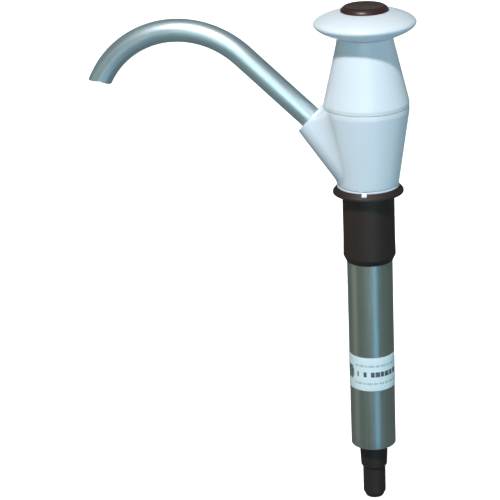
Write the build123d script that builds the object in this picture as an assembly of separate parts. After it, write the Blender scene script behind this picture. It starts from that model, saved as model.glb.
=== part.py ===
from build123d import *
import os
from math import atan2, cos, degrees, radians, sin, sqrt, tan

# Deck-mounted push-pull galley hand pump.
# Millimetres. Origin: on the pump's axis, in the plane of the deck, under the collar's flange.
# +Z runs up the pump's axis, and the spout points to -X. The plunger is modelled pushed down.

os.makedirs("parts", exist_ok=True)

# ---------------------------------------------------------------- driving dimensions

# Clearances
turn_gap = 0.05          # running fit of turning and sliding rounds, on the radius
face_gap = 0.15          # between faces that slide on each other
stop_gap = 0.3           # left between moving pieces at the end of their travel

# Strokes
stroke = 140.0           # knob, rod and piston
ring_float = 2.5         # piston ring between its two flanges
ball_lift = 5.0          # foot valve ball

# Deck collar
sleeve_wall = 2.0        # straight part: 17.9 mm radius outside, for a 38 mm hole
sleeve_length = 49.4
sleeve_straight = 31.0   # length of the straight part, from the deck down
sleeve_flare = 0.27      # how much wider the sleeve is above its chamfer
sleeve_chamfer = 4.0
sleeve_end_wall = 0.3
flange_bevel = 2.9       # from the flange's top edge out to its rim
flange_rim = 1.4         # height of the flange's upright edge
flange_height = 4.8

# Swivel washer
washer_thickness = 1.05
washer_overhang = 0.35   # past the head's foot
tab_width = 3.6
tab_overhang = 1.7       # past the washer's ring
tab_proud = 0.5
tab_angle = -86.0        # about +Z from +X

# Barrel
barrel_r = 15.9
barrel_wall = 1.6
sump_clearance = 6.3     # from the piston's stud, all the way down, to the foot valve's cage
socket_depth = 13.0      # how far the barrel reaches into the head

# Label
label_height = 25.1
label_above_foot = 45.9  # from the barrel's foot to the label
label_film = 0.15

# Head, lower half
socket_wall = 5.1        # round the barrel, at the head's foot
head_wide_r = 29.0
seam_z = 60.7
lower_band = 3.2         # upright band under the seam
head_wall = 3.2
ledge_thickness = 4.0
ledge_hole_r = 11.5
chamber_floor_r = 19.0
spigot_r = 25.8
spigot_wall = 2.5
spigot_depth = 5.5
seam_gasket = 0.6
gasket_inset = 0.3

# Spout branch
branch_angle = 42.4      # above the deck's plane
branch_overhang = 10.0   # rim's centre from the head's widest radius
branch_rim_drop = 9.1    # and below the seam
branch_wall = 4.4        # round the spout, at the rim
branch_cone_length = 46.0
branch_foot_inset = 1.2  # the underside's line meets the foot this far inside it
socket_length = 15.0
water_way_depth = 34.0   # inside the rim, into the chamber
spout_o_ring_depths = (2.6, 9.0)

# Spout
spout_r = 8.0
spout_wall = 1.2
spout_bend_r = 65.8
spout_crest_reach = 129.1
spout_past_crest = 62.0  # degrees of bend past the crest
outlet_z = 75.0

# Head, upper half
upper_band = 2.8         # upright band over the gasket
neck_r = 19.8
neck_z = 103.2
bonnet_top_z = 108.8
bonnet_top_r = 18.7
bonnet_plate = 7.6
gland_boss_wall = 3.6    # round the seal's pocket
gland_boss_length = 20.0
seal_width = 3.0         # from the rod to the pocket's wall
gland_thread_step = 2.0  # from the pocket's wall out to the gland's thread
gland_thread_depth = 7.0
gland_slot = 2.0
rod_hole_clearance = 0.2
bush_length = 14.0
seal_height = 4.5

# Rod
rod_r = 6.0
stud_r = 4.0             # M8 ends for the knob and the piston
nut_flats = 13.0
nut_height = 5.0
plain_washer_r = 8.5
plain_washer_thickness = 1.2
stud_past_nut = 0.5

# Knob and cap
knob_r = 34.5
knob_height = 17.1
knob_widest_height = 9.0
knob_land_r = 17.2       # flat on top that the cap sits on
knob_foot_r = 19.1
knob_foot_slope = 0.3     # rise of the underside where it leaves the foot
knob_top_slope = 0.16      # and of the top where it meets the flat
knob_pocket_gap = 1.1    # round the plain washer
knob_pocket_depth = 9.0
knob_shoulder = 4.0      # plastic between the rod's shoulder and the pocket
cap_inset = 1.0          # inside the knob's flat
cap_bevel = 2.9
cap_height = 3.6
cap_edge_height = 0.7
cap_bevel_bulge = 0.45
cap_spigot = 4.0
cap_spigot_wall = 1.2

# Piston
piston_gap = 0.35        # between the piston and the bore
plate_inset = 1.15       # the plate is smaller than the piston by this
valve_plate_thickness = 3.0
piston_flange = 3.4
piston_hub_r = 7.6
piston_slots = 6
piston_slot_r = 1.8
ring_height = 5.0
ring_width = 4.2
ring_lip_depth = 2.2
ring_lip_half_width = 1.0
buffer_height = 6.0
buffer_clearance = 0.3

# Foot valve and hose tail
ball_r = 8.0
seat_hole_r = 5.2
seat_cone_depth = 4.0      # at 45 degrees
tail_plug_height = 17.0
cage_ring_height = 4.0
cage_ring_overlap = 1.5    # of the ring under the posts
cage_top_thickness = 2.0
cage_post_gap = 0.8      # between the ball and the posts
cage_post_depth = 2.6
cage_post_width = 3.2
cage_posts = 4
cage_top_hole_r = 4.0
tail_big_r = 10.3
tail_big_end_r = 9.35
tail_big_length = 19.8
tail_step_length = 2.0
tail_small_r = 8.05
tail_small_length = 19.2
tail_chamfer_length = 3.8
tail_end_r = 6.3
snap_ring_thickness = 1.2
snap_ring_groove = 0.7
snap_ring_width = 2.5    # inside the bore
snap_ring_recess = 1.0
split_ring_gap = 4.5       # between the ends of the snap ring and of the wire ring

# O-rings, by the radius of their cord
o_ring_r = 1.0
spout_o_ring_r = 0.8
groove_slack = 0.2
barrel_o_ring_depth = 3.25 # below the barrel's top
tail_o_ring_height = 9.4   # above the plug's shoulder
wire_ring_height = 1.8
wire_ring_depth = 5.2      # above the socket's mouth
wire_ring_bite = 0.7    # how far the ring stands into the barrel's groove
wire_ring_reach = 1.2    # how far it stands into the head's groove

# ---------------------------------------------------------------- levels that follow from them

bore_r = barrel_r - barrel_wall
swivel_r = barrel_r + turn_gap
sleeve_r = barrel_r + sleeve_wall
sleeve_end_r = barrel_r + sleeve_end_wall
head_bottom_r = swivel_r + socket_wall
washer_r = head_bottom_r + washer_overhang
flange_top_r = washer_r
flange_r = flange_top_r + flange_bevel
tab_reach_r = washer_r + tab_overhang
washer_top_z = flange_height + washer_thickness
head_bottom_z = washer_top_z + face_gap
barrel_top_z = head_bottom_z + socket_depth
ledge_z = barrel_top_z + face_gap
chamber_floor_z = ledge_z + ledge_thickness
head_cone_top_z = seam_z - lower_band
gasket_top_z = seam_z + seam_gasket
band_top_z = gasket_top_z + upper_band
spigot_bottom_z = seam_z - spigot_depth
branch_rim_reach = head_wide_r + branch_overhang
branch_rim_z = seam_z - branch_rim_drop
branch_rim_r = spout_r + branch_wall
water_way_r = spout_r - spout_wall
gland_pocket_r = rod_r + seal_width
gland_thread_r = gland_pocket_r + gland_thread_step
gland_boss_r = gland_pocket_r + gland_boss_wall

knob_bottom_z = bonnet_top_z + stop_gap
knob_top_z = knob_bottom_z + knob_height
knob_widest_z = knob_bottom_z + knob_widest_height
knob_pocket_r = plain_washer_r + knob_pocket_gap
knob_pocket_z = knob_top_z - knob_pocket_depth
rod_top_z = knob_pocket_z - knob_shoulder
cap_r = knob_land_r - cap_inset
cap_flat_r = cap_r - cap_bevel

piston_r = bore_r - piston_gap
valve_plate_r = piston_r - plate_inset
ring_hole_r = bore_r - ring_width
buffer_top_z = ledge_z - stop_gap - stroke
buffer_bottom_z = buffer_top_z - buffer_height
piston_top_z = buffer_bottom_z - face_gap
flange_under_z = piston_top_z - piston_flange
plate_top_z = flange_under_z - ring_float - ring_height - 2 * face_gap
plate_bottom_z = plate_top_z - valve_plate_thickness
ring_bottom_z = plate_top_z + face_gap
piston_nut_z = plate_bottom_z - nut_height
stud_bottom_z = piston_nut_z - stud_past_nut

# The foot valve hangs under the piston's lowest place. Its ball rests on the seat's 45 degree cone.
cage_post_inner_r = ball_r + cage_post_gap
cage_post_outer_r = cage_post_inner_r + cage_post_depth
ball_touch_r = ball_r * sin(radians(45))
ball_over_cone = ball_touch_r - seat_hole_r + ball_r * cos(radians(45)) + face_gap
cage_top_over_ball = ball_lift + stop_gap + sqrt(ball_r**2 - cage_top_hole_r**2)
cage_top_z = stud_bottom_z - sump_clearance - cage_top_thickness
ball_z = cage_top_z - cage_top_over_ball
seat_cone_bottom_z = ball_z - ball_over_cone
plug_top_z = seat_cone_bottom_z + seat_cone_depth
plug_bottom_z = plug_top_z - tail_plug_height
barrel_bottom_z = plug_bottom_z - snap_ring_thickness - snap_ring_recess
snap_ring_inner_r = bore_r - snap_ring_width


# ---------------------------------------------------------------- shapes used more than once

def rod(radius, low, high):
    """Round bar on the pump's axis."""
    return Pos(0, 0, low) * Cylinder(radius, high - low, align=(Align.CENTER, Align.CENTER, Align.MIN))


def ring(inner, outer, low, high):
    """Plain ring on the pump's axis."""
    return rod(outer, low, high) - rod(inner, low - 1, high + 1)


def turned(*points):
    """Solid turned about the pump's axis from straight-sided (radius, height) points."""
    return revolve(Plane.XZ * make_face(Polyline(*points, close=True)), Axis.Z)


def o_ring(inner, cord_r, height):
    """O-ring that touches the radius inner."""
    return Pos(0, 0, height) * Torus(inner + cord_r, cord_r)


def hex_nut(low, height):
    """Nut with a plain hole, flats across X."""
    hexagon = RegularPolygon(nut_flats / 2, 6, major_radius=False)
    return Pos(0, 0, low) * extrude(hexagon, height) - rod(stud_r, low - 1, low + height + 1)


def around(shape, count, start=0.0):
    """Copies of a shape, evenly spaced about the pump's axis."""
    return [Rot(0, 0, start + 360 * i / count) * shape for i in range(count)]


def split(radius, height, thickness):
    """Block that opens a split ring, as wide as the gap between its ends."""
    return Pos(radius, 0, height) * Box(radius, split_ring_gap, 2 * thickness)


def write(name, shape):
    """One STEP file for each piece."""
    export_step(shape, f"parts/{name}.step")


# ---------------------------------------------------------------- deck collar and swivel washer

bevel_slope = (flange_height - flange_rim) / (flange_r - flange_top_r)


def tab_blank():
    """Locating tab of the washer, lying over the flange's bevel."""
    bottom_z = flange_height - bevel_slope * (tab_reach_r - flange_top_r)
    block = Pos((washer_r - 3 + tab_reach_r) / 2, 0, (bottom_z + washer_top_z) / 2) * Box(
        tab_reach_r - washer_r + 3, tab_width, washer_top_z - bottom_z)
    skin = turned(
        (bore_r, bottom_z - 1), (flange_r + tab_proud, bottom_z - 1),
        (flange_r + tab_proud, flange_rim + tab_proud), (flange_top_r + tab_proud, washer_top_z),
        (bore_r, washer_top_z))
    return Rot(0, 0, tab_angle) * (block & skin)


def deck_collar():
    """Bevelled flange on a through-deck sleeve, with a notch for the washer's tab."""
    straight_z = -sleeve_straight
    chamfer_z = sleeve_chamfer - sleeve_length
    body = turned(
        (barrel_r, flange_height), (flange_top_r, flange_height), (flange_r, flange_rim), (flange_r, 0),
        (sleeve_r, 0), (sleeve_r, straight_z), (sleeve_r + sleeve_flare, chamfer_z),
        (sleeve_end_r, -sleeve_length), (barrel_r, -sleeve_length))
    return body - tab_blank()


def swivel_washer():
    """Slippery ring that the head turns on."""
    return ring(barrel_r, washer_r, flange_height, washer_top_z) + tab_blank()


write("deck_collar", deck_collar())
write("swivel_washer", swivel_washer())

# ---------------------------------------------------------------- barrel and label

wire_ring_z = head_bottom_z + wire_ring_depth
barrel_o_ring_z = barrel_top_z - barrel_o_ring_depth


def barrel_tube():
    """Anodised tube, grooved outside for the head's wire ring and inside for the snap ring."""
    tube = ring(bore_r, barrel_r, barrel_bottom_z, barrel_top_z)
    half = wire_ring_height / 2 + face_gap
    groove_r = barrel_r - wire_ring_bite - 2 * turn_gap
    tube -= ring(groove_r, barrel_r + 1, wire_ring_z - half, wire_ring_z + half)
    snap_z = barrel_bottom_z + snap_ring_recess
    return tube - rod(bore_r + snap_ring_groove, snap_z, snap_z + snap_ring_thickness)


def barrel_label():
    """Printed film round the barrel."""
    low = barrel_bottom_z + label_above_foot
    return ring(barrel_r, barrel_r + label_film, low, low + label_height)


write("barrel_tube", barrel_tube())
write("barrel_label", barrel_label())

# ---------------------------------------------------------------- hose tail and foot valve

tail_o_ring_z = plug_bottom_z + tail_o_ring_height
seat_cone_top_r = seat_hole_r + seat_cone_depth


def tail_adaptor():
    """Plug in the barrel's foot with the ball's seat on top and a stepped hose tail below."""
    shoulder_z = plug_bottom_z
    big_end_z = shoulder_z - tail_big_length
    small_top_z = big_end_z - tail_step_length
    small_end_z = small_top_z - tail_small_length
    body = turned(
        (0, plug_top_z), (bore_r, plug_top_z), (bore_r, shoulder_z), (tail_big_r, shoulder_z),
        (tail_big_end_r, big_end_z), (tail_small_r, small_top_z), (tail_small_r, small_end_z),
        (tail_end_r, small_end_z - tail_chamfer_length), (0, small_end_z - tail_chamfer_length))
    body -= rod(seat_hole_r, small_end_z - tail_chamfer_length - 1, plug_top_z + 1)
    body -= turned(
        (0, seat_cone_bottom_z), (seat_hole_r, seat_cone_bottom_z), (seat_cone_top_r, plug_top_z),
        (0, plug_top_z))
    half = o_ring_r + groove_slack
    return body - ring(bore_r - 2 * o_ring_r, bore_r + 1, tail_o_ring_z - half, tail_o_ring_z + half)


def tail_snap_ring():
    """Split ring in the barrel's inner groove, under the plug."""
    low = barrel_bottom_z + snap_ring_recess
    body = ring(snap_ring_inner_r, bore_r + snap_ring_groove, low, low + snap_ring_thickness)
    return body - split(bore_r, low + snap_ring_thickness / 2, snap_ring_thickness)


def foot_valve_cage():
    """Ring on the plug with posts round the ball and a stop ring over it."""
    cage = ring(cage_post_outer_r - cage_ring_overlap, bore_r, plug_top_z, plug_top_z + cage_ring_height)
    cage += ring(cage_top_hole_r, cage_post_outer_r, cage_top_z, cage_top_z + cage_top_thickness)
    depth = cage_post_outer_r - cage_post_inner_r
    height = cage_top_z + cage_top_thickness / 2 - plug_top_z
    post = Pos(cage_post_inner_r + depth / 2, 0, plug_top_z + height / 2) * Box(
        depth, cage_post_width, height)
    for copy in around(post, cage_posts, 45):
        cage += copy
    return cage


write("tail_adaptor", tail_adaptor())
write("tail_snap_ring", tail_snap_ring())
write("tail_o_ring", Pos(0, 0, tail_o_ring_z) * Torus(bore_r - o_ring_r, o_ring_r))
write("foot_valve_cage", foot_valve_cage())
write("foot_valve_ball", Pos(0, 0, ball_z) * Sphere(ball_r))

# ---------------------------------------------------------------- head, lower half

branch_rim = Vector(-branch_rim_reach, 0, branch_rim_z)
branch_out = Vector(-cos(radians(branch_angle)), 0, sin(radians(branch_angle)))


# The branch flares inwards, so that its underside runs into the foot of the head's cone.
branch_foot_r = head_bottom_r - branch_foot_inset
rim_foot = branch_rim - Vector(sin(radians(branch_angle)), 0, cos(radians(branch_angle))) * branch_rim_r
underside_angle = degrees(atan2(rim_foot.Z - head_bottom_z, -rim_foot.X - branch_foot_r))
branch_root_r = branch_rim_r + branch_cone_length * tan(radians(underside_angle - branch_angle))


def along_branch(depth):
    """Plane square to the branch, depth inside its rim, facing outwards."""
    return Plane(origin=branch_rim - branch_out * depth, x_dir=(0, 1, 0), z_dir=branch_out)


def branch_bar(radius, inner_depth, outer_depth):
    """Round bar on the branch's axis between two depths inside the rim."""
    length = inner_depth - outer_depth
    bar = Cylinder(radius, length, align=(Align.CENTER, Align.CENTER, Align.MIN))
    return along_branch(inner_depth) * bar


def lower_body():
    """Cone-shaped lower half of the head with the spout's branch and the barrel's socket."""
    cone = turned(
        (0, head_bottom_z), (head_bottom_r, head_bottom_z), (head_wide_r, head_cone_top_z),
        (head_wide_r, seam_z), (0, seam_z))
    branch = along_branch(branch_cone_length) * Cone(
        branch_root_r, branch_rim_r, branch_cone_length, align=(Align.CENTER, Align.CENTER, Align.MIN))
    branch -= rod(2 * head_wide_r, seam_z, seam_z + 2 * branch_rim_r)
    branch -= rod(2 * head_wide_r, head_bottom_z - branch_root_r, head_bottom_z)
    body = cone + branch
    chamber_top_r = spigot_r - spigot_wall
    body -= turned(
        (0, chamber_floor_z), (chamber_floor_r, chamber_floor_z), (chamber_top_r, spigot_bottom_z),
        (spigot_r, spigot_bottom_z), (spigot_r, seam_z), (0, seam_z))
    body -= rod(ledge_hole_r, ledge_z - 1, chamber_floor_z + 1)
    body -= rod(swivel_r, head_bottom_z - 1, ledge_z)
    body -= branch_bar(spout_r + turn_gap, socket_length, -1)
    body -= branch_bar(water_way_r, water_way_depth, socket_length - 1)
    for depth in spout_o_ring_depths:
        half = spout_o_ring_r + groove_slack
        body -= branch_bar(spout_r + turn_gap + 2 * spout_o_ring_r, depth + half, depth - half)
    half = wire_ring_height / 2
    body -= rod(barrel_r + wire_ring_reach, wire_ring_z - half, wire_ring_z + half)
    half = o_ring_r + groove_slack
    body -= rod(swivel_r + 2 * o_ring_r, barrel_o_ring_z - half, barrel_o_ring_z + half)
    return body


def barrel_retaining_ring():
    """Split wire ring that holds the head on the barrel and lets it turn."""
    half = wire_ring_height / 2
    body = ring(barrel_r - wire_ring_bite, barrel_r + wire_ring_reach, wire_ring_z - half, wire_ring_z + half)
    return body - split(barrel_r, wire_ring_z, wire_ring_height)


def spout_o_rings():
    """Two O-rings in the branch, round the spout."""
    torus = Torus(spout_r + turn_gap + spout_o_ring_r, spout_o_ring_r)
    return Compound([along_branch(depth) * torus for depth in spout_o_ring_depths])


write("lower_body", lower_body())
write("barrel_retaining_ring", barrel_retaining_ring())
write("barrel_o_ring", o_ring(swivel_r, o_ring_r, barrel_o_ring_z))
write("spout_o_rings", spout_o_rings())
write("seam_gasket", ring(spigot_r, head_wide_r - gasket_inset, seam_z, gasket_top_z))

# ---------------------------------------------------------------- spout


def spout_tube():
    """Round tube, straight out of the branch, bent over a single arc and cut off level."""
    rise = radians(branch_angle)
    fall = radians(spout_past_crest)
    rim_to_bend = (spout_crest_reach - branch_rim_reach - spout_bend_r * sin(rise)) / cos(rise)
    bend_start = branch_rim + branch_out * rim_to_bend
    centre_z = bend_start.Z - spout_bend_r * cos(rise)
    crest = Vector(-spout_crest_reach, 0, centre_z + spout_bend_r)
    bend_end = Vector(-spout_crest_reach - spout_bend_r * sin(fall), 0, centre_z + spout_bend_r * cos(fall))
    down = Vector(-cos(fall), 0, -sin(fall))
    tail = 3 * spout_r
    start = branch_rim - branch_out * socket_length
    path = Wire([
        Line(start, bend_start), ThreePointArc(bend_start, crest, bend_end),
        Line(bend_end, bend_end + down * tail)])
    section = Plane(origin=start, x_dir=(0, 1, 0), z_dir=branch_out) * (
        Circle(spout_r) - Circle(spout_r - spout_wall))
    tube = sweep(section, path)
    cutter = Pos(bend_end.X, 0, outlet_z) * Box(
        8 * spout_r, 4 * spout_r, 6 * spout_r, align=(Align.CENTER, Align.CENTER, Align.MAX))
    return tube - cutter


write("spout_tube", spout_tube())

# ---------------------------------------------------------------- head, upper half and gland


def upper_body():
    """Cone-shaped upper half of the head, with a spigot into the lower half and the rod's gland."""
    outside = turned(
        (0, gasket_top_z), (head_wide_r, gasket_top_z), (head_wide_r, band_top_z), (neck_r, neck_z),
        (bonnet_top_r, bonnet_top_z), (0, bonnet_top_z))
    outside += rod(spigot_r, spigot_bottom_z, gasket_top_z)
    cavity_low_r = spigot_r - spigot_wall
    roof_z = bonnet_top_z - bonnet_plate
    cavity = turned(
        (0, spigot_bottom_z - 1), (cavity_low_r, spigot_bottom_z - 1), (cavity_low_r, band_top_z),
        (neck_r - head_wall, roof_z), (0, roof_z))
    cavity -= rod(gland_boss_r, roof_z - gland_boss_length, roof_z + 1)
    body = outside - cavity
    pocket_z = bonnet_top_z - gland_thread_depth
    body -= rod(gland_thread_r, pocket_z, bonnet_top_z + 1)
    body -= rod(gland_pocket_r, pocket_z - seal_height - bush_length, pocket_z + 1)
    return body - rod(rod_r + rod_hole_clearance, roof_z - gland_boss_length - 1, bonnet_top_z)


seal_top_z = bonnet_top_z - gland_thread_depth
bush_top_z = seal_top_z - seal_height
gland_r = rod_r + turn_gap


def gland_nut():
    """Slotted screw-in ring over the rod's seal."""
    body = ring(gland_r, gland_thread_r, seal_top_z, bonnet_top_z)
    slot = Pos(gland_thread_r - gland_slot, 0, bonnet_top_z) * Box(2 * gland_slot, gland_slot, 2 * gland_slot)
    for copy in around(slot, 2, 90):
        body -= copy
    return body


write("upper_body", upper_body())
write("gland_nut", gland_nut())
write("rod_seal", ring(gland_r, gland_pocket_r, bush_top_z, seal_top_z))
write("rod_guide_bush", ring(gland_r, gland_pocket_r, bush_top_z - bush_length, bush_top_z))

# ---------------------------------------------------------------- knob


def knob():
    """Lens-shaped pull knob."""
    profile = [
        Line((0, knob_bottom_z), (knob_foot_r, knob_bottom_z)),
        Spline(
            (knob_foot_r, knob_bottom_z), (knob_r, knob_widest_z), (knob_land_r, knob_top_z),
            tangents=[(1, knob_foot_slope), (0, 1), (-1, knob_top_slope)]),
        Line((knob_land_r, knob_top_z), (0, knob_top_z)),
        Line((0, knob_top_z), (0, knob_bottom_z))]
    body = revolve(Plane.XZ * make_face(profile), Axis.Z)
    body -= rod(rod_r, knob_bottom_z - 1, rod_top_z)
    body -= rod(stud_r, rod_top_z - 1, knob_top_z)
    return body - rod(knob_pocket_r, knob_pocket_z, knob_top_z + 1)


def knob_cap():
    """Round cap with a bevelled edge, on a spigot in the knob's pocket."""
    top_z = knob_top_z + cap_height
    edge_z = knob_top_z + cap_edge_height
    profile = [
        Line((0, knob_top_z), (cap_r, knob_top_z)),
        Line((cap_r, knob_top_z), (cap_r, edge_z)),
        SagittaArc((cap_r, edge_z), (cap_flat_r, top_z), -cap_bevel_bulge),
        Line((cap_flat_r, top_z), (0, top_z)),
        Line((0, top_z), (0, knob_top_z))]
    body = revolve(Plane.XZ * make_face(profile), Axis.Z)
    return body + ring(knob_pocket_r - cap_spigot_wall, knob_pocket_r, knob_top_z - cap_spigot, knob_top_z)


knob_nut_z = knob_pocket_z + plain_washer_thickness

write("knob", knob())
write("knob_cap", knob_cap())
write("knob_washer", ring(stud_r, plain_washer_r, knob_pocket_z, knob_nut_z))
write("knob_nut", hex_nut(knob_nut_z, nut_height))

# ---------------------------------------------------------------- rod and piston


def piston_rod():
    """Stainless rod with a threaded stud at each end."""
    body = rod(rod_r, piston_top_z, rod_top_z)
    body += rod(stud_r, rod_top_z - 1, knob_nut_z + nut_height + stud_past_nut)
    return body + rod(stud_r, stud_bottom_z, piston_top_z + 1)


def piston_guide():
    """Slotted upper flange of the piston, with the hub that the ring floats on."""
    body = rod(piston_r, flange_under_z, piston_top_z) + rod(piston_hub_r, plate_top_z, flange_under_z)
    body -= rod(stud_r, plate_top_z - 1, piston_top_z + 1)
    slot_r = (piston_hub_r + ring_hole_r + piston_slot_r) / 2
    slot = Pos(slot_r, 0, flange_under_z) * Cylinder(piston_slot_r, 4 * piston_flange)
    for copy in around(slot, piston_slots):
        body -= copy
    return body


def piston_ring():
    """Floating cup ring, which seals on the plate going up and lets water by going down."""
    top_z = ring_bottom_z + ring_height
    body = ring(ring_hole_r, bore_r - turn_gap, ring_bottom_z, top_z)
    middle_r = (ring_hole_r + bore_r) / 2
    return body - turned(
        (middle_r, top_z - ring_lip_depth), (middle_r + ring_lip_half_width, top_z),
        (middle_r - ring_lip_half_width, top_z))


write("piston_rod", piston_rod())
write("piston_guide", piston_guide())
write("valve_plate", ring(stud_r, valve_plate_r, plate_bottom_z, plate_top_z))
write("piston_nut", hex_nut(piston_nut_z, nut_height))
write("piston_ring", piston_ring())
write("top_buffer", ring(rod_r + buffer_clearance, bore_r - buffer_clearance, buffer_bottom_z, buffer_top_z))
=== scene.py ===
"""Visible pieces and finishes of a deck-mounted galley hand pump.

Sizes in the classes are millimetres in the pump's own frame: the origin is on the pump's axis in the plane
of the deck, +Z runs up to the knob and the spout points to -X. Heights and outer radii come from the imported
frame. Meshes are written in metres.
"""
import logging
from dataclasses import dataclass, field
from enum import Enum
from math import atan, atan2, cos, pi, radians, sin, tan
from typing import Any, Sequence

import bmesh
import bpy
import numpy as np
from mathutils import Matrix, Vector


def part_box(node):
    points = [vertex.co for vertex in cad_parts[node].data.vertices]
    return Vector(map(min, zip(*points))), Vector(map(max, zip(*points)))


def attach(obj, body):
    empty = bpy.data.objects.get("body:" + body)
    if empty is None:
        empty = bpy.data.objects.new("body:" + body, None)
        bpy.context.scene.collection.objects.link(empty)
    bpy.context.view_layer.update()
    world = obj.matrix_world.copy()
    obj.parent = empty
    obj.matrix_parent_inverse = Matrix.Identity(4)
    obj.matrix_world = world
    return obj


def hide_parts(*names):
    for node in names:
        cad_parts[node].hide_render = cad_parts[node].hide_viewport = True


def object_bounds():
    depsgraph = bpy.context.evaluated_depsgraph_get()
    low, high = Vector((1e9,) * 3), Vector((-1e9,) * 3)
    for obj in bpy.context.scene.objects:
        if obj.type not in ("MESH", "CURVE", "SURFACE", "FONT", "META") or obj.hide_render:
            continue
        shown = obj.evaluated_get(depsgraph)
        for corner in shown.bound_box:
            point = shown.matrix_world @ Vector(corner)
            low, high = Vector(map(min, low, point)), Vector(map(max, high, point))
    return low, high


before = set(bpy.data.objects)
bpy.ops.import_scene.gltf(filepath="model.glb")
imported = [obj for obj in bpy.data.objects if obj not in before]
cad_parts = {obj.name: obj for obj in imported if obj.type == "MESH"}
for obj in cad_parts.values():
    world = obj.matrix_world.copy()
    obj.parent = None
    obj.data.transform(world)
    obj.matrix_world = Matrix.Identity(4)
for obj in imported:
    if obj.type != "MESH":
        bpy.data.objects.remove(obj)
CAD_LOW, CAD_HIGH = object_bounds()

logging.basicConfig(level=logging.INFO, format="%(levelname)s %(message)s")
log = logging.getLogger("galley_pump")

METRES = 0.001
SHARP_ANGLE = radians(38.0)  # edges that turn by more stay sharp
MERGE_GAP = 2e-6  # points nearer than this, in metres, are merged
Array = np.ndarray
Socket = bpy.types.NodeSocket
Triple = tuple[float, float, float]
Corner = Triple  # radius, height and rounding of an outline's corner
Colour = Triple  # red, green and blue, linear


class Body(Enum):
    """The bodies that pieces ride on."""

    BARREL = "barrel"
    HEAD = "head"
    PLUNGER = "plunger"


class Slot(Enum):
    """The record's material slots."""

    WHITE = "white_plastic"
    NYLON = "white_nylon"
    BLACK = "black_plastic"
    BROWN = "brown_plastic"
    SPOUT = "satin_aluminium"
    BARREL = "anodised_aluminium"
    STEEL = "stainless_steel"
    RUBBER = "seal_rubber"
    GASKET = "gasket_rubber"
    LABEL = "label_film"


# ---- surfaces ----


@dataclass(frozen=True)
class Reach:
    """How far a CAD piece reaches, in mm: its half width across Y, its lowest and its highest height."""

    r: float
    low: float
    high: float

    @classmethod
    def of(cls, node: str) -> "Reach":
        """Reach of a CAD node at rest, by its name."""
        low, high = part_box(node)
        return cls((high.y - low.y) / 2 / METRES, low.z / METRES, high.z / METRES)


def unit(vectors: Array) -> Array:
    """Vectors, one to a row, scaled to length 1."""
    return vectors / np.linalg.norm(vectors, axis=1)[:, None]


def rounded(corners: Sequence[Corner], steps: int = 7) -> Array:
    """Closed outline with rounded corners.

    A corner with rounding r is cut back along both of its sides by r / tan(half its inner angle). An arc
    about the point at r / sin(half that angle) along the corner's bisector joins the two cuts. Its points
    are the spherical mean of the two radii: (sin((1 - k) w) a + sin(k w) b) / sin w, with w their angle.

    Args:
        corners: (radius, height, rounding) of each corner, in order round the outline.
        steps: points on each arc.

    Returns:
        (n, 2) points, the first repeated at the end.
    """
    table = np.array(corners, float)
    at, r = table[:, :2], np.maximum(table[:, 2], 1e-4)
    back, on = unit(np.roll(at, 1, 0) - at), unit(np.roll(at, -1, 0) - at)
    inner = np.arccos(np.clip((back * on).sum(1), -1, 1))
    cut = (r / np.tan(inner / 2))[:, None]
    centre = at + unit(back + on) * (r / np.sin(inner / 2))[:, None]
    first, last = at + back * cut - centre, at + on * cut - centre
    w = (pi - inner)[:, None, None]
    k = np.linspace(0, 1, steps)[None, :, None]
    arc = (np.sin((1 - k) * w) * first[:, None] + np.sin(k * w) * last[:, None]) / np.sin(w)
    points = (centre[:, None] + arc).reshape(-1, 2)
    return np.vstack([points, points[:1]])


def hermite(start: Sequence[float], end: Sequence[float], leave: Sequence[float], arrive: Sequence[float],
            steps: int) -> Array:
    """Cubic curve between two points with a given direction at each end.

    The point at t is h00 start + h10 leave + h01 end + h11 arrive, with the four Hermite weights of t.

    Args:
        start: first point.
        end: last point.
        leave: tangent at the start, as long as its pull.
        arrive: tangent at the end.
        steps: number of points.

    Returns:
        (steps, 2) points.
    """
    t = np.linspace(0, 1, steps)[:, None]
    start, end, leave, arrive = (np.asarray(v, float)[None] for v in (start, end, leave, arrive))
    return ((2 * t**3 - 3 * t**2 + 1) * start + (t**3 - 2 * t**2 + t) * leave
            + (3 * t**2 - 2 * t**3) * end + (t**3 - t**2) * arrive)


def turned(outline: Array, turns: int = 144) -> Array:
    """Surface of revolution: the point (radius, height) at angle a is (radius cos a, radius sin a, height).

    Args:
        outline: (n, 2) radii and heights.
        turns: columns round the axis.

    Returns:
        (n, turns + 1, 3) grid whose last column repeats the first.
    """
    a = np.linspace(0, 2 * pi, turns + 1)
    r, z = outline[:, 0:1], outline[:, 1:2]
    return np.stack([r * np.cos(a), r * np.sin(a), z * np.ones_like(a)], -1)


def running(steps: Array) -> Array:
    """Running total of steps, which starts at 0."""
    return np.concatenate([[0], np.cumsum(steps)])


def resampled(outline: Array, longest: float) -> Array:
    """Outline with its long sides divided, so that no side is much longer than wanted.

    Each side of length s becomes ceil(s / longest) equal parts, found by interpolating along the path.

    Args:
        outline: (n, 2) points.
        longest: longest side wanted.

    Returns:
        (m, 2) points.
    """
    side = np.linalg.norm(np.diff(outline, axis=0), axis=1)
    run = running(side)
    parts = np.maximum(np.ceil(side / longest).astype(int), 1)
    where = np.repeat(run[:-1], parts) + np.repeat(side / parts, parts) * (
        np.arange(parts.sum()) - np.repeat(np.cumsum(parts) - parts, parts))
    where = np.append(where, run[-1])
    keep = np.append(np.diff(where) > 1e-6, True)
    return np.stack([np.interp(where[keep], run, outline[:, i]) for i in range(2)], -1)


def lathe(corners: Sequence[Corner], longest: float = 6.0) -> Array:
    """Turned piece from (radius, height, rounding) corners."""
    return turned(resampled(rounded(corners), longest))


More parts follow.
